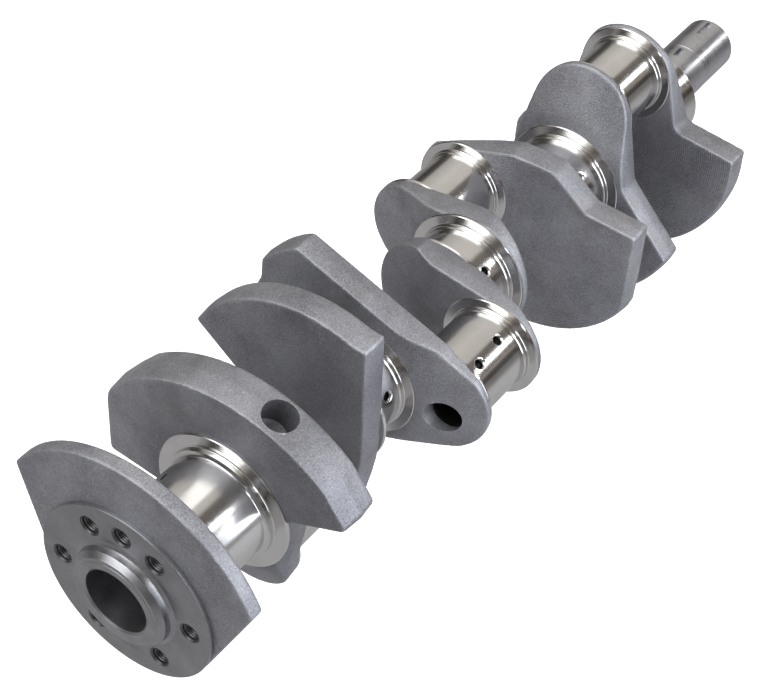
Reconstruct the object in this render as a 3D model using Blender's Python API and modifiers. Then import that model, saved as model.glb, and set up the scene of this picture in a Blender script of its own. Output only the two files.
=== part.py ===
"""Forged eight-cylinder crankshaft: five main journals, four crankpins, eight webs.

World +X runs along the crank axis from the flywheel flange to the snout, +Z is the
direction of the first crankpin.  The origin is on the axis at the flange face.
Outlines are given in millimetres as (y, z) and angles are measured from +Z toward +Y.
"""
import math

import bmesh
import bpy
from mathutils import Matrix, Vector

MM = 0.001
GAP = 0.3

# Driving dimensions, millimetres
MAIN_SPACING = 122.94
THROW = 50.8
MAIN_DIA = 69.84
PIN_DIA = 55.88
SNOUT_DIA = 40.64
MAIN_LENGTH = 28.5
PIN_LENGTH = 50.9
MAIN_4_X = 201.75
FILLET = 2.4
LIP = 0.4
PAD_RISE = 1.1
PAD_ROOT = 3.0
MAIN_PAD_DIA = 86.1
PIN_PAD_DIA = 70.2
WEB_EDGE = 1.4

HUB_FACE_X = -8.5
HUB_DIA = 61.0
HUB_ROOT_DIA = 66.4
BORE_DIA = 43.26
BORE_DEPTH = 21.0
BORE_STEP = 2.6
BORE_END_X = 33.0
BORE_CONE = 8.0
DISC_DIA = 119.5
DISC_THICK = 3.0
PLATE_END_X = 13.0
BOLT_CIRCLE_DIA = 90.9
BOLT_HOLE_DIA = 11.1
BOLT_ANGLES = (30.0, 90.0, 150.0, 210.0, 270.0, 330.0, 0.0)
PLATE_RADIUS = 93.5
PLATE_LOW_RADIUS = 59.5

THRUST_FACE_X = 83.8
THRUST_DIA = 94.4
THRUST_BORE = 38.0
WEB_8_REAR_X = 85.3
MAIN_1_END_X = 594.0
SNOUT_END_X = 679.0
SNOUT_CHAMFER = 1.6
SNOUT_SHOULDER = 2.0
KEY_WIDTH = 4.76
KEY_DEPTH = 2.6
KEYWAYS = ((619.0, 630.5), (657.0, 675.0))

MAIN_OIL = {2: (441.8, -39.9), 3: (322.2, -43.6), 4: (202.2, -70.2)}
PIN_OIL = ((-12.7, 56.6), (10.5, 61.7))
OIL_HOLE_DIA = 6.0
OIL_DEPTH = 9.0
OIL_MOUTH_DEPTH = 3.0
OIL_MOUTH_FLARE = 6.0
OIL_MOUTH_TIP = 2.0
PIN_BOSS = 35.6
TAPER_START = 47.0
ROOT_TAPER_START = -8.0
TAPER_RUN = 41.0
TAPER_DROP = 14.5
REAR_TAPER_DROP = 21.5

SLIT_X = 59.5
SLIT_ANGLE = 38.4
SLIT_LENGTH = 5.0
SLIT_WIDTH = 2.4
SLIT_DEPTH = 3.0
RELIEF_DIA = 24.0
RELIEF_AT = (-60.0, -5.0)
RELIEF_DEPTH = 30.0
BALANCE_DIA = 22.0
BALANCE_ANGLE = -21.0
BALANCE_X = 100.0
BALANCE_FLOOR = 55.0

CHAMFER = 0.6
PLATE_EDGE = 1.0
CUTTER_REACH = 60.0
TAPER_BLOCK = 200.0
ROUND_STEPS = 36
SMALL_STEPS = 12
ARC_STEP = 9.0

MAIN_X = {n: MAIN_4_X + (4 - n) * MAIN_SPACING for n in (1, 2, 3, 4)}
PIN_X = {n: MAIN_4_X + (3.5 - n) * MAIN_SPACING for n in (1, 2, 3, 4)}
PIN_AXIS = {1: (0.0, THROW), 2: (THROW, 0.0), 3: (-THROW, 0.0), 4: (0.0, -THROW)}
HALF_MAIN = MAIN_LENGTH / 2
HALF_PIN = PIN_LENGTH / 2

# Web number: rear face, front face, pin number, whether the main journal is behind it
WEBS = {
    8: (WEB_8_REAR_X, PIN_X[4] - HALF_PIN, 4, True),
    7: (PIN_X[4] + HALF_PIN, MAIN_X[4] - HALF_MAIN, 4, False),
    6: (MAIN_X[4] + HALF_MAIN, PIN_X[3] - HALF_PIN, 3, True),
    5: (PIN_X[3] + HALF_PIN, MAIN_X[3] - HALF_MAIN, 3, False),
    4: (MAIN_X[3] + HALF_MAIN, PIN_X[2] - HALF_PIN, 2, True),
    3: (PIN_X[2] + HALF_PIN, MAIN_X[2] - HALF_MAIN, 2, False),
    2: (MAIN_X[2] + HALF_MAIN, PIN_X[1] - HALF_PIN, 1, True),
    1: (PIN_X[1] + HALF_PIN, MAIN_X[1] - HALF_MAIN, 1, False),
}
ACROSS = (math.pi / 2, 0.0, math.pi / 2)
FORWARD = (1.0, 0.0, 0.0)


# Scene and collections

def fresh_collection(name):
    group = bpy.data.collections.new(name)
    bpy.context.scene.collection.children.link(group)
    return group


for old in list(bpy.data.objects):
    bpy.data.objects.remove(old)
PARTS = fresh_collection("crankshaft")
CUTTERS = fresh_collection("cutters")


def material(name, colour, roughness):
    metal = bpy.data.materials.new(name)
    metal.use_nodes = True
    shader = metal.node_tree.nodes["Principled BSDF"]
    shader.inputs["Base Color"].default_value = (*colour, 1.0)
    shader.inputs["Roughness"].default_value = roughness
    shader.inputs["Metallic"].default_value = 1.0
    return metal


FINISHES = {
    "forged": ((0.33, 0.34, 0.36), 0.62),
    "polished": ((0.74, 0.73, 0.71), 0.12),
    "machined": ((0.52, 0.53, 0.55), 0.34),
}


def finish_part(part, finish):
    """Give the part its own metal and round shading."""
    part.data.materials.clear()
    part.data.materials.append(material(part.name + "_metal", *FINISHES[finish]))
    part.data.shade_smooth()
    part.data.set_sharp_from_angle(angle=math.radians(32))


# Outline helpers: every outline is a loop of (y, z) points

def polar(radius, angle, centre=(0.0, 0.0)):
    turn = math.radians(angle)
    return (centre[0] + radius * math.sin(turn), centre[1] + radius * math.cos(turn))


def arc(radius, start, end, centre=(0.0, 0.0)):
    count = max(2, round(abs(end - start) / ARC_STEP) + 1)
    return [polar(radius, start + (end - start) * i / (count - 1), centre) for i in range(count)]


def corner(y, z, radius, before, after, steps=3):
    """Round one corner of an outline between two neighbouring points."""
    point = Vector((y, z))
    back = (Vector(before) - point).normalized()
    ahead = (Vector(after) - point).normalized()
    half = back.angle(ahead) / 2
    middle = point + (back + ahead).normalized() * (radius / math.sin(half))
    start = point + back * (radius / math.tan(half)) - middle
    sweep = start.angle_signed(point + ahead * (radius / math.tan(half)) - middle)
    return [tuple(middle + Matrix.Rotation(-sweep * i / steps, 2) @ start) for i in range(steps + 1)]


def rounded(points):
    """Turn a mix of (y, z) points and (y, z, radius) corners into a plain loop."""
    loop = []
    for index, item in enumerate(points):
        if len(item) == 2:
            loop.append(item)
            continue
        before = points[index - 1][:2]
        after = points[(index + 1) % len(points)][:2]
        loop += corner(item[0], item[1], item[2], before, after)
    return loop


# Body makers

def add_object(name, mesh, group, x=0.0, y=0.0, z=0.0, turn=ACROSS):
    part = bpy.data.objects.new(name, mesh)
    part.location = (x * MM, y * MM, z * MM)
    part.rotation_euler = turn
    group.objects.link(part)
    return part


def hide_cutter(cutter):
    cutter.hide_render = True
    cutter.display_type = "WIRE"
    return cutter


def plate(name, loop, rear, front, group=PARTS):
    """Flat plate across the axis, from a filled outline."""
    curve = bpy.data.curves.new(name + "_outline", "CURVE")
    curve.dimensions = "2D"
    curve.fill_mode = "BOTH"
    curve.extrude = (front - rear) / 2 * MM
    spline = curve.splines.new("POLY")
    spline.points.add(len(loop) - 1)
    for point, (y, z) in zip(spline.points, loop):
        point.co = (y * MM, z * MM, 0.0, 1.0)
    spline.use_cyclic_u = True
    holder = bpy.data.objects.new(name + "_curve", curve)
    PARTS.objects.link(holder)
    mesh = bpy.data.meshes.new_from_object(holder)
    bpy.data.objects.remove(holder)
    body = bmesh.new()
    body.from_mesh(mesh)
    bmesh.ops.remove_doubles(body, verts=body.verts, dist=0.00001)
    bmesh.ops.recalc_face_normals(body, faces=body.faces)
    body.to_mesh(mesh)
    body.free()
    return add_object(name, mesh, group, x=(rear + front) / 2)


def turned(name, profile, centre=(0.0, 0.0), closed=False, group=PARTS, steps=ROUND_STEPS):
    """Turned body from (x, radius) points running from the front end to the rear end."""
    mesh = bpy.data.meshes.new(name)
    points = [(radius * MM, 0.0, x * MM) for x, radius in profile]
    edges = [(i, i + 1) for i in range(len(points) - 1)]
    if closed:
        edges.append((len(points) - 1, 0))
    mesh.from_pydata(points, edges, [])
    part = add_object(name, mesh, group, y=centre[0], z=centre[1])
    screw = part.modifiers.new("turn", "SCREW")
    screw.steps = steps
    screw.render_steps = steps
    screw.use_merge_vertices = True
    screw.merge_threshold = 0.00001
    return part


def bar(name, radius, length, start, direction, steps=SMALL_STEPS, tip_radius=None):
    """Round cutter that begins at a point and runs along a direction."""
    body = bmesh.new()
    bmesh.ops.create_cone(body, cap_ends=True, segments=steps, radius1=radius * MM,
                          radius2=(radius if tip_radius is None else tip_radius) * MM, depth=length * MM)
    mesh = bpy.data.meshes.new(name)
    body.to_mesh(mesh)
    body.free()
    cutter = bpy.data.objects.new(name, mesh)
    along = Vector(direction).normalized()
    cutter.rotation_euler = along.to_track_quat("Z", "Y").to_euler()
    cutter.location = (Vector(start) + along * length / 2) * MM
    CUTTERS.objects.link(cutter)
    return hide_cutter(cutter)


def block(name, size, centre, rotation=None):
    body = bmesh.new()
    bmesh.ops.create_cube(body, size=1.0)
    bmesh.ops.scale(body, vec=Vector(size) * MM, verts=body.verts)
    mesh = bpy.data.meshes.new(name)
    body.to_mesh(mesh)
    body.free()
    cutter = bpy.data.objects.new(name, mesh)
    cutter.location = Vector(centre) * MM
    if rotation is not None:
        cutter.rotation_euler = rotation
    CUTTERS.objects.link(cutter)
    return hide_cutter(cutter)


def combine(part, other, operation="DIFFERENCE"):
    change = part.modifiers.new(operation.lower(), "BOOLEAN")
    change.operation = operation
    change.solver = "EXACT"
    change.object = other


def round_edges(part, width=WEB_EDGE):
    edge = part.modifiers.new("edge", "BEVEL")
    edge.width = width * MM
    edge.segments = 1
    edge.limit_method = "ANGLE"
    edge.angle_limit = math.radians(50)


# Turned journals and pins

def journal_profile(rear, front, radius):
    """Solid cylinder that flares through a fillet at both ends, front end first."""
    rim = radius + FILLET
    middle = front - LIP - FILLET
    front_side = [(front, 0.0), (front, rim)]
    for degrees in (0, 30, 60, 90):
        turn = math.radians(degrees)
        front_side.append((middle + FILLET * math.cos(turn), rim - FILLET * math.sin(turn)))
    return front_side + [(front + rear - x, r) for x, r in reversed(front_side)]


def oil_hole(part, x, angle, radius, centre=(0.0, 0.0)):
    """Drilled hole with a flared mouth in a journal."""
    outward = Vector((0.0, *polar(1.0, angle)))
    surface = Vector((x, *centre)) + outward * radius
    label = part.name + f"_oil_{round(x)}"
    length = OIL_DEPTH + OIL_MOUTH_DEPTH
    combine(part, bar(label, OIL_HOLE_DIA / 2, length, surface - outward * OIL_DEPTH, outward))
    mouth = bar(label + "_mouth", OIL_MOUTH_TIP, 2 * OIL_MOUTH_DEPTH, surface - outward * OIL_MOUTH_DEPTH,
                outward, tip_radius=OIL_MOUTH_TIP + OIL_MOUTH_FLARE)
    combine(part, mouth)


def make_journals():
    for number, x in MAIN_X.items():
        rear = x - HALF_MAIN + GAP
        front = x + HALF_MAIN - GAP
        if number == 1:
            front = MAIN_1_END_X
        main = turned(f"main_journal_{number}", journal_profile(rear, front, MAIN_DIA / 2))
        if number in MAIN_OIL:
            oil_hole(main, *MAIN_OIL[number], MAIN_DIA / 2)
        finish_part(main, "polished")
    for number, x in PIN_X.items():
        centre = PIN_AXIS[number]
        profile = journal_profile(x - HALF_PIN + GAP, x + HALF_PIN - GAP, PIN_DIA / 2)
        pin = turned(f"crankpin_{number}", profile, centre)
        outward = math.degrees(math.atan2(*centre))
        for offset, angle in PIN_OIL:
            oil_hole(pin, x + offset, outward + angle, PIN_DIA / 2, centre)
        if number == 3:
            start = (x - HALF_PIN - RELIEF_DEPTH, *RELIEF_AT)
            drill = bar("pin_relief", RELIEF_DIA / 2, 2 * RELIEF_DEPTH, start, FORWARD, ROUND_STEPS // 2)
            combine(pin, drill)
        finish_part(pin, "polished")


def make_rear_journal():
    """Wide thrust journal behind web 8, with the stepped pilot bore in its rear end."""
    profile = journal_profile(PLATE_END_X + GAP, WEB_8_REAR_X - GAP, MAIN_DIA / 2)[:-1]
    bore = BORE_DIA / 2
    profile += [(PLATE_END_X + GAP, bore), (BORE_DEPTH, bore), (BORE_DEPTH, bore - BORE_STEP)]
    profile += [(BORE_END_X, bore - BORE_STEP), (BORE_END_X + BORE_CONE, 0.0)]
    main = turned("main_journal_5", profile)
    combine(main, block("oil_slit", (SLIT_LENGTH, SLIT_WIDTH, 2 * SLIT_DEPTH),
                        (SLIT_X, *polar(MAIN_DIA / 2, SLIT_ANGLE)), (-math.radians(SLIT_ANGLE), 0.0, 0.0)))
    finish_part(main, "polished")


def make_snout():
    """Snout with two keyways in line with the first crankpin."""
    radius = SNOUT_DIA / 2
    rear = MAIN_1_END_X + GAP
    shoulder = rear + SNOUT_SHOULDER
    profile = [(SNOUT_END_X, 0.0), (SNOUT_END_X, radius - SNOUT_CHAMFER)]
    profile += [(SNOUT_END_X - SNOUT_CHAMFER, radius), (shoulder + FILLET, radius)]
    profile += [(shoulder, radius + FILLET), (rear, radius + FILLET), (rear, 0.0)]
    snout = turned("snout", profile)
    for start, end in KEYWAYS:
        size = (end - start, KEY_WIDTH, 2 * KEY_DEPTH)
        combine(snout, block(f"keyway_{round(start)}", size, ((start + end) / 2, 0.0, radius)))
    finish_part(snout, "machined")


# Flange at the rear end

def bolt_cutters():
    drill = bmesh.new()
    middle = PLATE_END_X / 2
    for angle in BOLT_ANGLES:
        y, z = polar(BOLT_CIRCLE_DIA / 2, angle)
        place = Matrix.Translation(Vector((middle, y, z)) * MM) @ Matrix.Rotation(math.pi / 2, 4, "Y")
        bmesh.ops.create_cone(drill, cap_ends=True, segments=SMALL_STEPS, radius1=BOLT_HOLE_DIA / 2 * MM,
                              radius2=BOLT_HOLE_DIA / 2 * MM, depth=2 * PLATE_END_X * MM, matrix=place)
    mesh = bpy.data.meshes.new("bolt_drills")
    drill.to_mesh(mesh)
    drill.free()
    drills = bpy.data.objects.new("bolt_drills", mesh)
    CUTTERS.objects.link(drills)
    return hide_cutter(drills)


def make_flange():
    bore = BORE_DIA / 2
    root = DISC_THICK - GAP
    seat = HUB_ROOT_DIA / 2 + GAP
    edge_x = HUB_FACE_X + CHAMFER
    hub = turned("pilot_hub", [
        (root, bore), (root, HUB_ROOT_DIA / 2), (-FILLET, HUB_ROOT_DIA / 2), (edge_x, HUB_DIA / 2),
        (HUB_FACE_X, HUB_DIA / 2 - CHAMFER), (HUB_FACE_X, bore + CHAMFER), (edge_x, bore)], closed=True)
    finish_part(hub, "machined")

    drills = bolt_cutters()
    disc = turned("flange_disc", [
        (root, seat), (root, DISC_DIA / 2), (CHAMFER, DISC_DIA / 2), (0.0, DISC_DIA / 2 - CHAMFER),
        (0.0, seat)], closed=True)
    combine(disc, drills)
    finish_part(disc, "machined")

    balance = plate("flange_counterweight", rounded(flange_outline()), DISC_THICK, PLATE_END_X)
    round_edges(balance, PLATE_EDGE)
    combine(balance, bar("plate_bore", bore, CUTTER_REACH, (-PLATE_END_X, 0.0, 0.0), FORWARD, ROUND_STEPS))
    combine(balance, drills)
    finish_part(balance, "forged")

    seat_x = WEB_8_REAR_X - GAP
    ring = turned("thrust_ring", [
        (seat_x, THRUST_BORE), (seat_x, THRUST_DIA / 2), (THRUST_FACE_X, THRUST_DIA / 2),
        (THRUST_FACE_X, THRUST_BORE)], closed=True)
    finish_part(ring, "machined")


# Web outlines, seen from the flange with +Y to the left

def flange_outline():
    return arc(PLATE_RADIUS, 57, -66) + arc(PLATE_LOW_RADIUS, -115, -260)


def web_8_outline():
    crown = arc(109.3, 39, -41, (1.0, -28.7))
    boss = arc(PIN_BOSS, 275, 90, PIN_AXIS[4])
    return [(88, -13, 4), (88, 36, 20)] + crown + [(-87, 31, 4), (-46, 12, 8)] + boss + [(45, -17, 8)]


def web_7_outline():
    crown = arc(95.5, 62, -19, (2.5, -12.0))
    boss = arc(PIN_BOSS, 275, 85, PIN_AXIS[4])
    return crown + [(-38, 77, 1.5), (-40, -8, 12)] + boss + [(47, 3, 12)]


def web_6_outline():
    side = arc(85.0, 122, 64)
    shoulder = arc(90.5, 52, 33, (4.0, -3.0))
    boss = arc(PIN_BOSS, -42, -150, PIN_AXIS[3])
    return side + shoulder + [(49, 75, 2), (-50, 41, 16)] + boss + [(-5, -47, 20), (36, -46, 12)]


def arm_outline(side):
    """Long oval web without a counterweight, reaching to the pin side."""
    boss = arc(PIN_BOSS - 1.5, 20, 160, (THROW, 0.0))
    root = arc(44.0, 195, 345)
    return [(y * side, z) for y, z in boss + root]


def web_3_outline():
    boss = arc(PIN_BOSS, 140, 50, PIN_AXIS[2])
    top = [(16, 44, 10), (-16, 45, 10), (-44, 24, 5)]
    weight = [(-82, 22, 3), (-82, -20)] + arc(92.0, -118, -180)
    return boss + top + weight + [(16, -62, 10)]


def web_2_outline():
    boss = arc(PIN_BOSS, 80, -75, PIN_AXIS[1])
    weight = arc(91, -112, -205)
    return boss + [(-45, 12, 12), (-86, -30, 3)] + weight + [(43, -44, 10), (43, 14, 10)]


def web_1_outline():
    boss = arc(PIN_BOSS, 80, -75, PIN_AXIS[1])
    weight = arc(93.5, -85, -242)
    return boss + [(-45, 21, 8), (-93.5, 16, 3)] + weight + [(81, -27, 5), (44, 10, 10)]


OUTLINES = {
    8: web_8_outline,
    7: web_7_outline,
    6: web_6_outline,
    5: lambda: arm_outline(-1),
    4: lambda: arm_outline(1),
    3: web_3_outline,
    2: web_2_outline,
    1: web_1_outline,
}


def taper_block(name, face, outward, reach, begin, drop=TAPER_DROP):
    """Slope that thins a web from a distance along one direction to the web's end."""
    normal = (Vector((outward, 0.0, 0.0)) * TAPER_RUN + reach * drop).normalized()
    start = Vector((face, 0.0, 0.0)) + reach * begin
    turn = normal.to_track_quat("Z", "Y").to_euler()
    return block(name, [TAPER_BLOCK] * 3, start + normal * TAPER_BLOCK / 2, turn)


def pad(number, where, face, outward, radius, centre):
    """Raised ring around a journal on one face of a web."""
    start = (face - outward * PAD_ROOT, *centre)
    return bar(f"{where}_pad_{number}", radius, PAD_RISE + PAD_ROOT, start, (outward, 0.0, 0.0), ROUND_STEPS)


def make_web(number):
    rear, front, pin, main_behind = WEBS[number]
    axis = PIN_AXIS[pin]
    rise = PAD_RISE
    plain_rear = rear if number == 8 else rear + rise
    plain_front = front - rise
    kind = "arm" if number in (4, 5) else "counterweight"
    web = plate(f"web_{number}_{kind}", rounded(OUTLINES[number]()), plain_rear, plain_front)
    round_edges(web)
    main_face, pin_face = (plain_rear, plain_front) if main_behind else (plain_front, plain_rear)
    out = -1.0 if main_behind else 1.0
    reach = Vector((0.0, *axis)).normalized()
    drop = REAR_TAPER_DROP if number == 8 else TAPER_DROP
    combine(web, taper_block(f"pin_taper_{number}", main_face, out, reach, TAPER_START, drop))
    if kind == "arm":
        combine(web, taper_block(f"root_taper_{number}", pin_face, -out, -reach, ROOT_TAPER_START))
    if number != 8:
        combine(web, pad(number, "main", main_face, out, MAIN_PAD_DIA / 2, (0.0, 0.0)), "UNION")
    combine(web, pad(number, "pin", pin_face, -out, PIN_PAD_DIA / 2, axis), "UNION")
    if number == 8:
        outward = Vector((0.0, *polar(1.0, BALANCE_ANGLE)))
        start = Vector((BALANCE_X, 0.0, 0.0)) + outward * BALANCE_FLOOR
        combine(web, bar("balance_hole", BALANCE_DIA / 2, CUTTER_REACH, start, outward, ROUND_STEPS // 2))
    if number == 6:
        start = (rear, *RELIEF_AT)
        combine(web, bar("web_relief", RELIEF_DIA / 2, CUTTER_REACH, start, FORWARD, ROUND_STEPS // 2))
    finish_part(web, "forged")


make_flange()
make_rear_journal()
make_journals()
make_snout()
for web_number in WEBS:
    make_web(web_number)
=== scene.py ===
import math

import bmesh
import bpy
import numpy as np
from mathutils import Matrix, Vector


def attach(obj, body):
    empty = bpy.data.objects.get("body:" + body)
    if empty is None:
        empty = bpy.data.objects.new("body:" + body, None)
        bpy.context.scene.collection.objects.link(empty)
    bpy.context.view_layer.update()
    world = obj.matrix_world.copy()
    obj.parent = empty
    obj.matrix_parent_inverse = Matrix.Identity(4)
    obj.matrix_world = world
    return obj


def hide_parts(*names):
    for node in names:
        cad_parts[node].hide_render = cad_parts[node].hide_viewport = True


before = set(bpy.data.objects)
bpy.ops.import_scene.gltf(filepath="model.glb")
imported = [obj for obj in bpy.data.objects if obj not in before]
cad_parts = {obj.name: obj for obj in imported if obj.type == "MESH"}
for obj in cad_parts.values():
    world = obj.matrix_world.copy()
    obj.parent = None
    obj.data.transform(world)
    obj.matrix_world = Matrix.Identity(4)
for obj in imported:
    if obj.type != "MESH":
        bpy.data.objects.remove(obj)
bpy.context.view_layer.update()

MM = 0.001

# Sizes of the crank, millimetres, all taken on the frame's axis
SPACING = 122.94
THROW = 50.8
HALF_MAIN = 14.25
HALF_PIN = 25.45
MAIN_R = 34.92
PIN_R = 27.94
MAIN_PAD_R = 43.05
PIN_PAD_R = 35.1
RISE = 1.1
PIN_BOSS = 35.6
SEAT_RADIUS = 59.3
HUB_RADIUS = 33.1
BOLT_CIRCLE = 45.45
BALANCE_TURN = math.radians(-21.0)
BALANCE_START = 55.0
BALANCE_X = 100.0
RELIEF_AT = (-60.0, -5.0)
RELIEF_RADIUS = 12.0
FORWARD = (1.0, 0.0, 0.0)
ON_AXIS = (0.0, 0.0)
MAIN_X = {n: 201.75 + (4 - n) * SPACING for n in (1, 2, 3, 4)}
PIN_X = {n: 201.75 + (3.5 - n) * SPACING for n in (1, 2, 3, 4)}
PIN_AT = {1: (0.0, THROW), 2: (THROW, 0.0), 3: (-THROW, 0.0), 4: (0.0, -THROW)}
PIN_TURN = {1: 0.0, 2: 90.0, 3: -90.0, 4: 180.0}


# Shader maths

class Wire:
    """A shader socket that can be used in ordinary arithmetic."""

    def __init__(self, tree, socket):
        self.tree = tree
        self.socket = socket

    def math(self, operation, *others):
        node = self.tree.nodes.new("ShaderNodeMath")
        node.operation = operation
        for slot, value in zip(node.inputs, (self,) + others):
            plug(self.tree, slot, value)
        return Wire(self.tree, node.outputs[0])

    def __add__(self, other):
        return self.math("ADD", other)

    def __radd__(self, other):
        return self.math("ADD", other)

    def __sub__(self, other):
        return self.math("SUBTRACT", other)

    def __rsub__(self, other):
        return (self * -1.0) + other

    def __mul__(self, other):
        return self.math("MULTIPLY", other)

    def __rmul__(self, other):
        return self.math("MULTIPLY", other)

    def __truediv__(self, other):
        return self.math("DIVIDE", other)

    def abs(self):
        return self.math("ABSOLUTE")

    def sin(self):
        return self.math("SINE")

    def sqrt(self):
        return self.math("SQRT")

    def clamp(self):
        return self.math("MAXIMUM", 0.0).math("MINIMUM", 1.0)


def plug(tree, slot, value):
    if isinstance(value, Wire):
        tree.links.new(value.socket, slot)
    elif value is not None:
        slot.default_value = value


class Metal:
    """A material with its Principled shader and one way to add any node."""

    def __init__(self, name, roughness, metallic):
        self.material = bpy.data.materials.new(name)
        self.material.use_nodes = True
        self.tree = self.material.node_tree
        self.shader = self.tree.nodes["Principled BSDF"]
        self.shader.inputs["Roughness"].default_value = roughness
        self.shader.inputs["Metallic"].default_value = metallic

    def node(self, kind, settings=None, inputs=None, output=0):
        node = self.tree.nodes.new(kind)
        for key, value in (settings or {}).items():
            setattr(node, key, value)
        for key, value in (inputs or {}).items():
            plug(self.tree, node.inputs[key], value)
        return Wire(self.tree, node.outputs[output])

    def place(self):
        """Position on the piece, in metres."""
        return self.node("ShaderNodeTexCoord", output="Object")

    def facing(self):
        """How squarely the surface faces along the crank axis."""
        turned = self.tree.nodes.new("ShaderNodeSeparateXYZ")
        plug(self.tree, turned.inputs[0], self.node("ShaderNodeTexCoord", output="Normal"))
        return Wire(self.tree, turned.outputs[0]).abs()

    def noise(self, scale, detail=3.0, rough=0.55, at=None):
        sockets = {"Vector": at or self.place(), "Scale": scale, "Detail": detail, "Roughness": rough}
        return self.node("ShaderNodeTexNoise", None, sockets)

    def blend(self, amount, one, two):
        node = self.tree.nodes.new("ShaderNodeMix")
        node.data_type = "RGBA"
        plug(self.tree, node.inputs[0], amount)
        plug(self.tree, node.inputs[6], one)
        plug(self.tree, node.inputs[7], two)
        return Wire(self.tree, node.outputs[2])

    def split(self):
        node = self.tree.nodes.new("ShaderNodeSeparateXYZ")
        plug(self.tree, node.inputs[0], self.place())
        return [Wire(self.tree, node.outputs[i]) for i in range(3)]

    def stretch(self, x, y, z):
        return self.node("ShaderNodeVectorMath", {"operation": "MULTIPLY"}, {0: self.place(), 1: (x, y, z)})

    def bump(self, height, strength, distance):
        sockets = {"Height": height, "Strength": strength, "Distance": distance}
        return self.node("ShaderNodeBump", None, sockets)

    def set(self, key, value):
        plug(self.tree, self.shader.inputs[key], value)


def crank_radius(metal):
    """Distance from the crank axis, in metres."""
    _, y, z = metal.split()
    return (y * y + z * z).sqrt()


def forged_steel(name, seed, face_lines=0.0, painted_core_shade=0.0):
    """Peened forging: grey and matte, finely grained, with cloudy stains, painted shade towards the crank
    axis and painted highlights on the edges.
    """
    metal = Metal(name, 0.5, 0.75)
    offset = (seed, seed * 0.7, -seed)
    shift = metal.node("ShaderNodeVectorMath", {"operation": "ADD"}, {0: metal.place(), 1: offset})
    cloud = metal.noise(17.0, 4.0, 0.62, shift)
    patch = metal.noise(75.0, 5.0, 0.68, shift)
    speck = metal.noise(760.0, 3.0, 0.6, shift)
    grain = metal.noise(1700.0, 2.0, 0.6, shift)
    tone = cloud * 0.32 + patch * 0.10 + speck * 0.24 + grain * 0.34
    height = speck * 0.5 + grain * 0.5 + patch * 0.3
    if face_lines:
        flat = ((metal.facing() - 0.8) * 8.0).clamp()
        lines = (crank_radius(metal) * (2 * math.pi / (1.5 * MM))).sin() * flat
        tone = tone + lines * face_lines * 0.12
        height = height + lines * face_lines
    tone = ((tone - 0.5) * 4.2 + 0.5).clamp()
    steel = metal.blend(tone, (0.165, 0.168, 0.187, 1), (0.50, 0.508, 0.55, 1))
    stain = ((metal.noise(31.0, 3.0, 0.6, shift) - 0.56) * 5.0).clamp() * 0.45
    steel = metal.blend(stain, steel, (0.20, 0.185, 0.175, 1))
    # painted shade: darker towards the crank axis near the journals, broken up by noise
    core_shade_mask = (1.0 - (crank_radius(metal) - 40 * MM) * 18.0).clamp() * (patch + 0.5) * painted_core_shade
    steel = metal.blend(core_shade_mask.clamp(), steel, (0.11, 0.11, 0.12, 1))
    # painted highlight: edges brightened by their pointiness, broken up by noise, and made a little less
    # rough
    edge = metal.node("ShaderNodeNewGeometry", output="Pointiness")
    edge_highlight = ((edge - 0.52) * 12.0).clamp() * (patch + 0.2)
    metal.set("Base Color", metal.blend(edge_highlight.clamp() * 0.7, steel, (0.70, 0.71, 0.73, 1)))
    metal.set("Roughness", (patch - 0.5) * 0.25 + (grain - 0.5) * 0.2 + (0.52 - edge_highlight * 0.1))
    metal.set("Normal", metal.bump(height, 0.7, 0.0006))
    return metal.material


def mirror_steel(name, seed):
    """Ground and polished journal: mirror metal with faint lines around the axis."""
    metal = Metal(name, 0.08, 1.0)
    around = metal.noise(1.0, 3.0, 0.6, metal.stretch(2600.0, 14.0, 14.0))
    haze = metal.noise(34.0 + seed, 3.0, 0.6)
    wide = metal.noise(1.0, 2.0, 0.5, metal.stretch(300.0, 6.0, 6.0))
    metal.set("Base Color", metal.blend(haze, (0.56, 0.55, 0.54, 1), (0.76, 0.75, 0.74, 1)))
    metal.set("Roughness", around * 0.12 + haze * 0.08 + 0.07)
    metal.set("Normal", metal.bump(around * 0.6 + wide * 0.7, 0.2, 0.00003))
    return metal.material


def turned_steel(name, seed, tone=0.5, rough=0.3):
    """Fine-turned satin steel with rings about the crank axis."""
    metal = Metal(name, rough, 0.95)
    x = metal.split()[0]
    rings = ((crank_radius(metal) + x) * (2 * math.pi / (0.9 * MM))).sin()
    drift = metal.noise(45.0 + seed, 4.0, 0.65)
    fine = metal.noise(1.0, 2.0, 0.6, metal.stretch(1900.0, 90.0, 90.0))
    grain = metal.noise(900.0, 2.0, 0.6)
    low = (tone * 0.60, tone * 0.61, tone * 0.64, 1)
    high = (tone * 1.34, tone * 1.35, tone * 1.42, 1)
    mixed = drift * 0.55 + fine * 0.2 + grain * 0.25 + rings * 0.02
    metal.set("Base Color", metal.blend(((mixed - 0.5) * 1.8 + 0.5).clamp(), low, high))
    metal.set("Roughness", drift * 0.16 + fine * 0.12 + (rough - 0.14))
    metal.set("Normal", metal.bump(rings * 0.4 + fine * 0.4 + grain * 0.2, 0.15, 0.00004))
    return metal.material


# Outlines as (y, z) points, angles from +Z toward +Y

def arc(radius, start, end, centre=ON_AXIS, step=3.0):
    count = max(2, round(abs(end - start) / step) + 1)
    turns = [math.radians(start + (end - start) * i / (count - 1)) for i in range(count)]
    return [(centre[0] + radius * math.sin(t), centre[1] + radius * math.cos(t)) for t in turns]


def corner(point, radius, before, after, steps=6):
    here = Vector(point)
    back = (Vector(before) - here).normalized()
    ahead = (Vector(after) - here).normalized()
    half = back.angle(ahead) / 2
    middle = here + (back + ahead).normalized() * (radius / math.sin(half))
    first = here + back * (radius / math.tan(half)) - middle
    last = here + ahead * (radius / math.tan(half)) - middle
    sweep = first.angle_signed(last)
    return [tuple(middle + Matrix.Rotation(-sweep * i / steps, 2) @ first) for i in range(steps + 1)]


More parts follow.
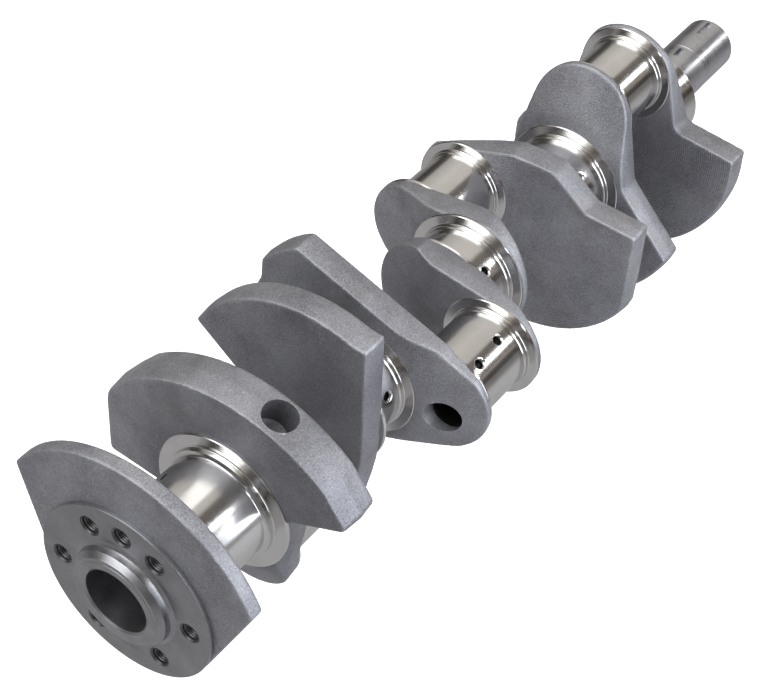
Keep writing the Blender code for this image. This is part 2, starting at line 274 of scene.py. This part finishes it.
def rounded(points):
    loop = []
    for index, item in enumerate(points):
        if len(item) == 2:
            loop.append(item)
        else:
            loop += corner(item[:2], item[2], points[index - 1][:2], points[(index + 1) % len(points)][:2])
    return np.array(loop)


def outline_distance(loop, y, z):
    """Signed distance to a closed outline, negative inside."""
    best = np.full(y.shape, 1e9)
    inside = np.zeros(y.shape, bool)
    for (ay, az), (by, bz) in zip(loop, np.roll(loop, -1, 0)):
        ey, ez = by - ay, bz - az
        along = np.clip(((y - ay) * ey + (z - az) * ez) / (ey * ey + ez * ez + 1e-12), 0, 1)
        best = np.minimum(best, (y - ay - along * ey) ** 2 + (z - az - along * ez) ** 2)
        if az != bz:
            inside ^= ((az > z) != (bz > z)) & (y < (z - az) * ey / ez + ay)
    return np.where(inside, -1, 1) * np.sqrt(best)


def both(a, b, soft):
    """Overlap of two solids with the shared edge rounded."""
    return np.maximum(a, b) + np.maximum(soft - np.abs(a - b), 0) ** 2 / (4 * soft)


def skin(field, low, step):
    """Closed quad surface where a sampled field crosses zero."""
    cells = tuple(n - 1 for n in field.shape)
    total = np.zeros(cells + (3,))
    count = np.zeros(cells)
    index = np.stack(np.meshgrid(*[np.arange(n) for n in cells], indexing="ij"), -1).astype(float)
    crossings = []
    for axis in range(3):
        near = np.take(field, np.arange(cells[axis]), axis)
        far = np.take(field, np.arange(1, cells[axis] + 1), axis)
        cross = (near < 0) != (far < 0)
        part = np.where(cross, near / np.where(cross, near - far, 1), 0)
        crossings.append((cross, near < 0))
        others = [a for a in range(3) if a != axis]
        for p in (0, 1):
            for q in (0, 1):
                cut = [slice(None)] * 3
                cut[others[0]] = slice(p, p + cells[others[0]])
                cut[others[1]] = slice(q, q + cells[others[1]])
                hit = cross[tuple(cut)]
                place = index.copy()
                place[..., axis] += part[tuple(cut)]
                place[..., others[0]] += p
                place[..., others[1]] += q
                total += place * hit[..., None]
                count += hit
    used = count > 0
    number = np.full(cells, -1)
    number[used] = np.arange(used.sum())
    points = total[used] / count[used][:, None] * step + low
    faces = []
    for axis in range(3):
        cross, from_inside = crossings[axis]
        b, c = (axis + 1) % 3, (axis + 2) % 3
        where = np.argwhere(cross)
        first, second = where[:, b], where[:, c]
        where = where[(first > 0) & (second > 0) & (first < cells[b]) & (second < cells[c])]
        ring = []
        for db, dc in ((-1, -1), (0, -1), (0, 0), (-1, 0)):
            cell = where.copy()
            cell[:, b] += db
            cell[:, c] += dc
            ring.append(number[tuple(cell.T)])
        quads = np.stack(ring, 1)
        flip = ~from_inside[tuple(where.T)]
        quads[flip] = quads[flip][:, ::-1]
        faces.append(quads)
    return points, np.concatenate(faces)


# Piece makers

def piece(name, points, faces, material, nodes=(), slot=None, sharp=40):
    mesh = bpy.data.meshes.new(name)
    mesh.from_pydata([tuple(p) for p in np.asarray(points) * MM], [], [tuple(map(int, f)) for f in faces])
    mesh.validate()
    mesh.shade_smooth()
    if sharp:
        mesh.set_sharp_from_angle(angle=math.radians(sharp))
    mesh.materials.append(material)
    part = bpy.data.objects.new(name, mesh)
    bpy.context.scene.collection.objects.link(part)
    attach(part, "root")
    if nodes:
        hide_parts(*nodes)
    return part


def lathe(name, profile, material, centre=ON_AXIS, nodes=(), slot=None, segments=144, closed=False,
          sharp=30):
    """Turned piece from (x, radius) points that run from the front end to the rear end."""
    turn = np.arange(segments) * 2 * math.pi / segments
    points = []
    rows = []
    for x, r in profile:
        if r == 0:
            rows.append([len(points)] * segments)
            points.append((x, centre[0], centre[1]))
            continue
        rows.append(list(range(len(points), len(points) + segments)))
        points += [(x, centre[0] + r * math.cos(t), centre[1] + r * math.sin(t)) for t in turn]
    pairs = list(zip(rows, rows[1:] + rows[:1])) if closed else list(zip(rows, rows[1:]))
    faces = []
    for first, second in pairs:
        for i in range(segments):
            j = (i + 1) % segments
            ring = [first[i], second[i], second[j], first[j]]
            ring = [v for k, v in enumerate(ring) if v != ring[k - 1]]
            faces.append(ring)
    return piece(name, points, faces, material, nodes, slot, sharp)


def cut_away(part, points, faces, name):
    """Cut a hollow out of a piece with a hidden helper solid."""
    mesh = bpy.data.meshes.new(name)
    mesh.from_pydata([tuple(p) for p in np.asarray(points) * MM], [], [tuple(f) for f in faces])
    helper = bpy.data.objects.new(name, mesh)
    bpy.context.scene.collection.objects.link(helper)
    change = part.modifiers.new(name, "BOOLEAN")
    change.operation = "DIFFERENCE"
    change.solver = "EXACT"
    change.object = helper
    bpy.context.view_layer.update()
    graph = bpy.context.evaluated_depsgraph_get()
    result = bpy.data.meshes.new_from_object(part.evaluated_get(graph))
    part.modifiers.clear()
    part.data = result
    result.shade_smooth()
    result.set_sharp_from_angle(angle=math.radians(30))
    bpy.data.objects.remove(helper)


def true_round(part, radius, centre):
    """Give the drilled cylinder its exact round shading back."""
    mesh = part.data
    normals = np.array([n.vector[:] for n in mesh.corner_normals])
    spots = np.array([v.co[:] for v in mesh.vertices])[[loop.vertex_index for loop in mesh.loops]]
    out = (spots[:, 1:] / MM - centre)
    away = np.hypot(out[:, 0], out[:, 1])
    out /= np.maximum(away, 1e-6)[:, None]
    owner = np.repeat([p.normal[:] for p in mesh.polygons], [p.loop_total for p in mesh.polygons], axis=0)
    skin_corner = (np.abs(away - radius) < 0.05) & (np.sum(owner[:, 1:] * out, 1) > 0.99)
    normals[skin_corner] = np.column_stack([np.zeros(len(out)), out])[skin_corner]
    mesh.normals_split_custom_set(normals.tolist())


def bore_wall(name, start, along, profile, material):
    """Wall and floor of a drilled hole, facing its own axis."""
    points, faces = drill_shape(start, along, profile)
    return piece(name, points, [face[::-1] for face in faces[:-1]], material)


def drill_shape(start, along, profile, segments=40):
    """Points and faces of a turned cutter along any direction, from (distance, radius) pairs."""
    along = Vector(along).normalized()
    side = along.orthogonal().normalized()
    up = along.cross(side)
    points = []
    for distance, radius in profile:
        middle = Vector(start) + along * distance
        for i in range(segments):
            turn = 2 * math.pi * i / segments
            points.append(tuple(middle + (side * math.cos(turn) + up * math.sin(turn)) * radius))
    faces = [tuple(range(segments))[::-1]]
    for row in range(len(profile) - 1):
        for i in range(segments):
            j = (i + 1) % segments
            low, high = row * segments, (row + 1) * segments
            faces.append((low + i, low + j, high + j, high + i))
    last = (len(profile) - 1) * segments
    faces.append(tuple(last + i for i in range(segments)))
    return points, faces


def box_shape(low, high):
    points = [(x, y, z) for x in (low[0], high[0]) for y in (low[1], high[1]) for z in (low[2], high[2])]
    faces = [(0, 1, 3, 2), (4, 6, 7, 5), (0, 4, 5, 1), (2, 3, 7, 6), (0, 2, 6, 4), (1, 5, 7, 3)]
    return points, faces


# Webs: forged plates between a main journal and a crankpin

def web_8_outline():
    crown = arc(108.6, 39, -41, (1.0, -28.7))
    boss = arc(PIN_BOSS, 275, 90, PIN_AT[4])
    return [(87, -13, 4), (87, 36, 20)] + crown + [(-87, 31, 4), (-46, 12, 8)] + boss + [(45, -17, 8)]


def web_7_outline():
    crown = arc(94.8, 62, -19, (2.5, -12.0))
    boss = arc(PIN_BOSS, 275, 85, PIN_AT[4])
    return crown + [(-38, 77, 1.5), (-40, -8, 12)] + boss + [(47, 3, 12)]


def web_6_outline():
    side = arc(85.0, 122, 64)
    shoulder = arc(90.5, 52, 33, (4.0, -3.0))
    boss = arc(PIN_BOSS, -42, -150, PIN_AT[3])
    return side + shoulder + [(49, 75, 2), (-50, 41, 16)] + boss + [(-5, -47, 20), (36, -46, 12)]


def arm_outline(side):
    return [(y * side, z) for y, z in arc(34.6, 20, 160, (THROW, 0.0)) + arc(44.0, 195, 345)]


def web_3_outline():
    top = [(16, 44, 10), (-16, 45, 10), (-44, 24, 5)]
    weight = [(-82, 22, 3), (-82, -20)] + arc(92.0, -118, -180)
    return arc(PIN_BOSS, 140, 50, PIN_AT[2]) + top + weight + [(16, -62, 10)]


def web_2_outline():
    weight = arc(91, -112, -205)
    boss = arc(PIN_BOSS, 80, -75, PIN_AT[1])
    return boss + [(-45, 12, 12), (-86, -30, 3)] + weight + [(43, -44, 10), (43, 14, 10)]


def web_1_outline():
    weight = arc(92.5, -85, -242)
    boss = arc(PIN_BOSS, 80, -75, PIN_AT[1])
    return boss + [(-45, 20.5, 8), (-92.4, 15.5, 3)] + weight + [(81, -27, 5), (44, 10, 10)]


# Rear face, front face, pin, main journal behind, outline, node
WEBS = {
    8: (85.3, PIN_X[4] - HALF_PIN, 4, True, web_8_outline(), "web_8_counterweight"),
    7: (PIN_X[4] + HALF_PIN, MAIN_X[4] - HALF_MAIN, 4, False, web_7_outline(), "web_7_counterweight"),
    6: (MAIN_X[4] + HALF_MAIN, PIN_X[3] - HALF_PIN, 3, True, web_6_outline(), "web_6_counterweight"),
    5: (PIN_X[3] + HALF_PIN, MAIN_X[3] - HALF_MAIN, 3, False, arm_outline(-1), "web_5_arm"),
    4: (MAIN_X[3] + HALF_MAIN, PIN_X[2] - HALF_PIN, 2, True, arm_outline(1), "web_4_arm"),
    3: (PIN_X[2] + HALF_PIN, MAIN_X[2] - HALF_MAIN, 2, False, web_3_outline(), "web_3_counterweight"),
    2: (MAIN_X[2] + HALF_MAIN, PIN_X[1] - HALF_PIN, 1, True, web_2_outline(), "web_2_counterweight"),
    1: (PIN_X[1] + HALF_PIN, MAIN_X[1] - HALF_MAIN, 1, False, web_1_outline(), "web_1_counterweight"),
}
STEP = 1.2
MARGIN = 4.0


def sample_axes(loop, rear, front, step):
    """Lowest corner and grid lines of a block around an outline."""
    low = np.array([rear, loop[:, 0].min() - MARGIN, loop[:, 1].min() - MARGIN])
    high = np.array([front, loop[:, 0].max() + MARGIN, loop[:, 1].max() + MARGIN])
    return low, [low[i] + np.arange(int((high[i] - low[i]) / step) + 2) * step for i in range(3)]


def soft_ramp(value, soft=8.0):
    """Zero below zero, the value above it, with a soft bend."""
    return both(value, np.zeros_like(value), soft)


def web_field(number, x, y, z, loop):
    rear, front, pin, main_behind, _, _ = WEBS[number]
    reach_y, reach_z = PIN_AT[pin][0] / THROW, PIN_AT[pin][1] / THROW
    reach = y * reach_y + z * reach_z
    across = np.minimum(np.abs(-y * reach_z + z * reach_y), 40.0)
    slope = 0.52 if number == 8 else 0.36
    main_drop = soft_ramp(reach + 0.011 * across ** 2 - 46.0) * slope
    pin_drop = np.zeros_like(main_drop)
    if number in (4, 5):
        pin_drop = soft_ramp(-reach + 0.006 * across ** 2 - 10.0) * 0.42
    rear_drop, front_drop = (main_drop, pin_drop) if main_behind else (pin_drop, main_drop)
    rear_face = rear if number == 8 else rear + RISE
    flat = outline_distance(loop, y, z)
    middle = (rear + front) / 2
    side = flat[None] + 0.10 * np.abs(x[:, None, None] - middle) - 0.9
    back = (rear_face + rear_drop)[None] - x[:, None, None]
    ahead = x[:, None, None] - (front - RISE - front_drop)[None]
    return both(both(side, back, 1.5), ahead, 1.5)


def make_web(number):
    rear, front, pin, main_behind, points, node = WEBS[number]
    loop = rounded(points)
    low, axes = sample_axes(loop, rear - 3.0, front + 3.0, STEP)
    y, z = np.meshgrid(axes[1], axes[2], indexing="ij")
    field = web_field(number, axes[0], y, z, loop)
    points, faces = skin(field, low, STEP)
    lines = {1: 0.35, 3: 0.15}.get(number, 0.0)
    # strength of the painted shade near the crank axis, per web
    painted_core_shade = {8: 0.45, 7: 0.3, 5: 0.35, 1: 0.35}.get(number, 0.1)
    steel = forged_steel(f"peened_forging_{number}", number * 0.37, lines, painted_core_shade)
    return piece(f"web_{number}_forging", points, faces, steel, (node,), node + "_metal", sharp=0)


web_parts = {number: make_web(number) for number in WEBS}
outward = Vector((0.0, math.sin(BALANCE_TURN), math.cos(BALANCE_TURN)))
start = Vector((BALANCE_X, 0.0, 0.0)) + outward * BALANCE_START
cut_away(web_parts[8], *drill_shape(start, outward, ((0, 0.5), (4, 11.0), (45, 11.0))), "balance_drill")
relief_profile = ((0, RELIEF_RADIUS), (60, RELIEF_RADIUS))
cut_away(web_parts[6], *drill_shape((200.0, *RELIEF_AT), FORWARD, relief_profile), "relief_drill")


# Journals and crankpins

def flare(face, direction, radius, shoulder=1.0, width=2.2):
    """Ground shoulder between a cylinder and a web face, from the face to the cylinder."""
    turns = [math.radians(90 * i / 6) for i in range(7)]
    small = 0.9
    high = radius + shoulder + 0.15
    profile = [(small - small * math.cos(t), high + small - small * math.sin(t)) for t in turns]
    profile += [(width, radius + shoulder)]
    roll = 1.5
    for t in turns:
        along = width + 0.25 + roll * (1 - math.cos(t)) * 1.3
        profile.append((along, radius + shoulder * (1 - math.sin(t))))
    return [(face - direction * along, r) for along, r in profile]


def pad_end(face, direction, pad_radius):
    """Machined ring on a web face, rooted inside the web."""
    section = ((2.5, 0.0), (2.5, pad_radius - 0.4), (1.6, pad_radius), (0.5, pad_radius),
               (0.0, pad_radius - 0.5))
    return [(face + direction * along, radius) for along, radius in section]


def spool(rear, front, radius, pad_radius):
    return (pad_end(front, 1, pad_radius) + flare(front, 1, radius)
            + flare(rear, -1, radius)[::-1] + pad_end(rear, -1, pad_radius)[::-1])


# Nearly black steel for the oil hole linings: painted shade inside the holes
HOLE_SHADE_STEEL = turned_steel("drilled_hole_shade", 6, 0.08, 0.35)


def oil_drill(part, x, turn, radius, centre=ON_AXIS):
    outward = (0.0, math.sin(math.radians(turn)), math.cos(math.radians(turn)))
    start = (x, centre[0] + outward[1] * (radius - 12), centre[1] + outward[2] * (radius - 12))
    profile = ((0, 0.4), (1.5, 2.9), (10.6, 2.9), (11.2, 3.25), (11.7, 3.8), (12.0, 4.4), (12.4, 5.6))
    cut_away(part, *drill_shape(start, outward, profile), "oil_drill")
    # dark lining: painted shade inside the oil hole
    bore_wall(f"{part.name}_oil_{round(x)}", start, outward, ((0.3, 2.8), (10.4, 2.8)), HOLE_SHADE_STEEL)


MAIN_OIL = {2: (441.8, -39.9), 3: (322.2, -43.6), 4: (202.2, -70.2)}
for number, x in MAIN_X.items():
    steel = mirror_steel(f"polished_main_{number}", number)
    node = f"main_journal_{number}"
    if number == 1:
        profile = [(594.0, 0.0), (594.0, MAIN_R - 1.5), (592.5, MAIN_R)]
        profile += flare(x - HALF_MAIN, -1, MAIN_R)[::-1] + pad_end(x - HALF_MAIN, -1, MAIN_PAD_R)[::-1]
    else:
        profile = spool(x - HALF_MAIN, x + HALF_MAIN, MAIN_R, MAIN_PAD_R)
    journal = lathe(f"main_{number}_polished", profile, steel, ON_AXIS, (node,), node + "_metal")
    if number in MAIN_OIL:
        oil_drill(journal, *MAIN_OIL[number], MAIN_R)
        true_round(journal, MAIN_R, ON_AXIS)

for number, x in PIN_X.items():
    steel = mirror_steel(f"polished_pin_{number}", number + 5)
    node = f"crankpin_{number}"
    profile = spool(x - HALF_PIN, x + HALF_PIN, PIN_R, PIN_PAD_R)
    pin = lathe(f"pin_{number}_polished", profile, steel, PIN_AT[number], (node,), node + "_metal")
    for offset, turn in ((-12.7, 56.0), (10.5, 61.0)):
        oil_drill(pin, x + offset, PIN_TURN[number] + turn, PIN_R, PIN_AT[number])
    if number == 3:
        relief_profile = ((0, RELIEF_RADIUS), (66, RELIEF_RADIUS), (71, 0.5))
        cut_away(pin, *drill_shape((200.0, *RELIEF_AT), FORWARD, relief_profile), "pin_drill")
    true_round(pin, PIN_R, PIN_AT[number])

# Dark lining in the relief bore: painted shade inside the bore
wall_profile = ((0.0, 0.4), (4.9, RELIEF_RADIUS - 0.15), (41.0, RELIEF_RADIUS - 0.15))
bore_wall("relief_bore_wall", (270.6, *RELIEF_AT), (-1.0, 0.0, 0.0), wall_profile,
          turned_steel("relief_bore_shade", 4, 0.10, 0.4))

# Rear journal with its thrust face
THRUST_X = 83.8
ring_section = ((3.0, 0.0), (3.0, 46.8), (1.4, 47.2), (0.5, 47.2), (0.0, 46.7))
profile = [(THRUST_X + along, radius) for along, radius in ring_section]
profile += flare(THRUST_X, 1, MAIN_R, 3.0, 2.9) + flare(13.0, -1, MAIN_R, 2.0, 2.0)[::-1]
profile += [(11.0, MAIN_R + 3.1), (11.0, 24.4), (42.5, 24.4), (42.5, 0.0)]
rear_main = lathe("main_5_polished", profile, mirror_steel("polished_main_5", 11), ON_AXIS,
                  ("main_journal_5", "thrust_ring"), "main_journal_5_metal")
slit = math.radians(38.4)
corners, sides = box_shape((-2.6, -1.2, -3.0), (2.6, 1.2, 3.0))
spin = Matrix.Rotation(-slit, 3, "X")
middle = Vector((59.5, math.sin(slit) * MAIN_R, math.cos(slit) * MAIN_R))
cut_away(rear_main, [tuple(spin @ Vector(p) + middle) for p in corners], sides, "slit_cutter")

# Snout
profile = [
    (679.0, 0.0), (679.0, 18.8), (677.5, 20.32), (634.4, 20.32), (634.2, 20.1), (633.8, 20.1),
    (633.6, 20.5), (598.4, 20.5), (597.2, 20.8), (596.3, 21.7), (596.0, 22.9), (594.2, 22.9),
    (592.0, 22.9), (592.0, 0.0),
]
snout_steel = turned_steel("snout_steel", 3, 0.46, 0.3)
snout = lathe("snout_turned", profile, snout_steel, ON_AXIS, ("snout",), "snout_metal")
for start, end in ((619.0, 630.5), (657.0, 675.0)):
    cut_away(snout, *box_shape((start, -2.38, 17.7), (end, 2.38, 25.0)), "key_cutter")


# Flange

PLATE = arc(92.9, 57, -66) + arc(59.7, -115, -260)
BOLT_TURNS = (30, 90, 150, 210, 270, 330, 0)
BOLTS = [
    (BOLT_CIRCLE * math.sin(math.radians(turn)), BOLT_CIRCLE * math.cos(math.radians(turn)))
    for turn in BOLT_TURNS
]


def make_flange_plate():
    loop = rounded(PLATE)
    step = STEP * 0.9
    low, axes = sample_axes(loop, 0.0, 16.0, step)
    y, z = np.meshgrid(axes[1], axes[2], indexing="ij")
    x = axes[0][:, None, None]
    side = outline_distance(loop, y, z)[None] + 0 * x
    body = both(both(side - 0.3, 3.0 - x, 1.6), x - 13.0, 1.6)
    holes = np.hypot(y, z) - 24.5
    for by, bz in BOLTS:
        holes = np.minimum(holes, np.hypot(y - by, z - bz) - 7.4)
    body = np.maximum(body, -holes[None])
    points, faces = skin(body, low, step)
    steel = forged_steel("peened_flange", 5.1)
    node = "flange_counterweight"
    piece("flange_balance_plate", points, faces, steel, (node,), node + "_metal", sharp=0)


make_flange_plate()


def make_flange_disc():
    """Machined seat with its bolt holes, from a filled ring outline."""
    curve = bpy.data.curves.new("seat_outline", "CURVE")
    curve.dimensions = "2D"
    curve.fill_mode = "BOTH"
    curve.extrude = 1.3 * MM
    curve.bevel_depth = 0.45 * MM
    curve.bevel_resolution = 2
    rings = [(0.0, 0.0, SEAT_RADIUS, 160), (0.0, 0.0, 24.5, 96)]
    rings += [(y, z, 7.1, 48) for y, z in BOLTS]
    for y, z, radius, count in rings:
        spline = curve.splines.new("POLY")
        spline.points.add(count - 1)
        for i, point in enumerate(spline.points):
            turn = 2 * math.pi * i / count
            point.co = ((y + radius * math.cos(turn)) * MM, (z + radius * math.sin(turn)) * MM, 0.0, 1.0)
        spline.use_cyclic_u = True
    holder = bpy.data.objects.new("seat_outline", curve)
    bpy.context.scene.collection.objects.link(holder)
    graph = bpy.context.evaluated_depsgraph_get()
    mesh = bpy.data.meshes.new_from_object(holder.evaluated_get(graph))
    bpy.data.objects.remove(holder)
    body = bmesh.new()
    body.from_mesh(mesh)
    bmesh.ops.remove_doubles(body, verts=body.verts, dist=0.000005)
    upright = Matrix(((0, 0, 1, 0), (1, 0, 0, 0), (0, 1, 0, 0), (0, 0, 0, 1)))
    body.transform(Matrix.Translation((1.75 * MM, 0, 0)) @ upright)
    bmesh.ops.recalc_face_normals(body, faces=body.faces)
    points = [tuple(v.co / MM) for v in body.verts]
    faces = [tuple(v.index for v in f.verts) for f in body.faces]
    body.free()
    steel = turned_steel("seat_steel", 7, 0.33, 0.42)
    piece("flange_seat", points, faces, steel, ("flange_disc",), "flange_disc_metal", sharp=35)


make_flange_disc()


# Dark thread tone: painted shade inside the bolt holes
THREAD_SHADE_STEEL = turned_steel("thread_shade_steel", 1, 0.16, 0.36)


def make_bolt_hole(index, y, z):
    """Threaded sleeve with a countersunk mouth."""
    profile = [(13.0, 8.3), (1.0, 8.3), (0.1, 6.9), (0.05, 6.65), (1.0, 5.6)]
    for turn in range(8):
        start = 2.2 + turn * 1.27
        profile += [(start, 5.5), (start + 0.6, 4.85), (start + 0.75, 4.85)]
    profile += [(12.6, 5.5), (13.0, 5.9)]
    lathe(f"bolt_hole_{index}", profile, THREAD_SHADE_STEEL, (y, z), closed=True, segments=56)


for index, (y, z) in enumerate(BOLTS):
    make_bolt_hole(index + 1, y, z)

profile = [
    (42.0, 0.0), (42.0, 24.0), (0.5, 24.0), (0.5, 36.2), (0.0, 36.2), (-0.5, 34.6), (-1.2, 33.6),
    (-2.2, 33.2), (-5.2, HUB_RADIUS), (-5.5, 32.9), (-7.6, 30.7), (-8.2, 30.2), (-8.3, 27.6),
    (-8.5, 27.4), (-8.5, 23.0), (-7.5, 21.63), (13.0, 21.63), (21.0, 21.63), (21.3, 19.4),
    (21.7, 19.03), (33.0, 19.03), (41.0, 0.0),
]
hub_steel = turned_steel("hub_steel", 9, 0.36, 0.34)
lathe("pilot_hub_turned", profile, hub_steel, ON_AXIS, ("pilot_hub",), "pilot_hub_metal", sharp=22)


# Studio: pale floor, soft light, camera

def make_floor():
    """Large pale floor that looks white and gives back only a little light."""
    half = 30.0
    corners = [(-half, -half, 0), (half, -half, 0), (half, half, 0), (-half, half, 0)]
    mesh = bpy.data.meshes.new("floor")
    mesh.from_pydata(corners, [], [(0, 1, 2, 3)])
    floor = bpy.data.objects.new("floor", mesh)
    floor.location = (0.3, 0.0, -0.5)
    paint = Metal("floor_paint", 0.9, 0.0)
    paint.set("Base Color", (0.38, 0.38, 0.39, 1))
    paint.set("Emission Color", paint.node("ShaderNodeLightPath", output="Is Camera Ray") * 1.116)
    paint.set("Emission Strength", 1.0)
    mesh.materials.append(paint.material)
    bpy.context.scene.collection.objects.link(floor)


make_floor()


def lamp(name, place, aim, size, power, size_y=None, tint=(1.0, 1.0, 1.0)):
    light = bpy.data.lights.new(name, "AREA")
    light.shape = "RECTANGLE"
    light.size = size
    light.size_y = size_y or size
    light.energy = power
    light.color = tint
    holder = bpy.data.objects.new(name, light)
    holder.location = place
    holder.rotation_euler = (Vector(aim) - Vector(place)).to_track_quat("-Z", "Y").to_euler()
    bpy.context.scene.collection.objects.link(holder)


lamp("top_softbox", (0.25, 0.3, 1.7), (0.3, 0.0, 0.0), 1.6, 5.0, 1.0)
lamp("right_strip", (1.3, -1.26, 0.97), (1.3, 0.0, 0.0), 3.2, 20.0, 0.2)
lamp("rear_softbox", (-1.6, 0.9, 2.3), (0.3, 0.0, 0.0), 2.4, 50.0, tint=(0.95, 0.97, 1.0))
lamp("side_softbox", (0.35, -1.6, 0.35), (0.25, 0.0, 0.0), 1.0, 14.0, tint=(0.86, 0.91, 1.0))

# Sky in lengthwise bands, from the right-hand horizon over the top to the left-hand one
SKY = (
    (0.000, (0.05, 0.045, 0.04)),
    (0.012, (0.06, 0.05, 0.045)),
    (0.018, (0.34, 0.29, 0.26)),
    (0.035, (0.34, 0.29, 0.26)),
    (0.042, (0.05, 0.045, 0.04)),
    (0.075, (0.08, 0.07, 0.065)),
    (0.095, (0.50, 0.51, 0.55)),
    (0.125, (0.52, 0.53, 0.57)),
    (0.160, (0.12, 0.10, 0.09)),
    (0.310, (0.20, 0.175, 0.155)),
    (0.345, (0.70, 0.67, 0.62)),
    (0.700, (0.78, 0.75, 0.70)),
    (0.930, (0.55, 0.53, 0.50)),
    (0.960, (0.10, 0.09, 0.085)),
    (1.000, (0.06, 0.055, 0.05)),
)


def make_sky():
    """Sky that changes around the crank axis, behind a white backdrop."""
    world = bpy.data.worlds.new("studio")
    world.use_nodes = True
    bpy.context.scene.world = world
    tree = world.node_tree
    coordinates = tree.nodes.new("ShaderNodeTexCoord")
    parts = tree.nodes.new("ShaderNodeSeparateXYZ")
    tree.links.new(coordinates.outputs["Generated"], parts.inputs[0])
    across, height = Wire(tree, parts.outputs[1]), Wire(tree, parts.outputs[2])
    ramp = tree.nodes.new("ShaderNodeValToRGB")
    bands = ramp.color_ramp.elements
    for index, (position, colour) in enumerate(SKY):
        band = bands[index] if index < 2 else bands.new(position)
        band.position = position
        band.color = colour + (1,)
    plug(tree, ramp.inputs[0], across / (across * across + height * height).sqrt() * 0.5 + 0.5)
    seen = tree.nodes.new("ShaderNodeLightPath")
    backdrop = tree.nodes.new("ShaderNodeMix")
    backdrop.data_type = "RGBA"
    tree.links.new(seen.outputs["Is Camera Ray"], backdrop.inputs[0])
    tree.links.new(ramp.outputs[0], backdrop.inputs[6])
    backdrop.inputs[7].default_value = (1.0, 1.0, 1.0, 1.0)
    tree.links.new(backdrop.outputs[2], tree.nodes["Background"].inputs[0])


make_sky()

IMAGE_WIDTH = 765
FOCAL = 1851.0
SENSOR = 36.0


def make_camera():
    eye = Vector((-463.8, -451.5, 799.6)) * MM
    right = Vector((0.57660, -0.81550, 0.04987))
    above = Vector((0.54300, 0.42811, 0.72241))
    ahead = Vector((0.61047, 0.38946, -0.68967))
    view = bpy.data.cameras.new("camera")
    view.sensor_fit = "HORIZONTAL"
    view.sensor_width = SENSOR
    view.lens = SENSOR * FOCAL / IMAGE_WIDTH
    view.clip_start = 0.01
    view.clip_end = 50.0
    camera = bpy.data.objects.new("camera", view)
    camera.matrix_world = Matrix.Translation(eye) @ Matrix((right, above, -ahead)).transposed().to_4x4()
    bpy.context.scene.collection.objects.link(camera)
    bpy.context.scene.camera = camera


make_camera()
bpy.context.scene.view_settings.view_transform = "Standard"
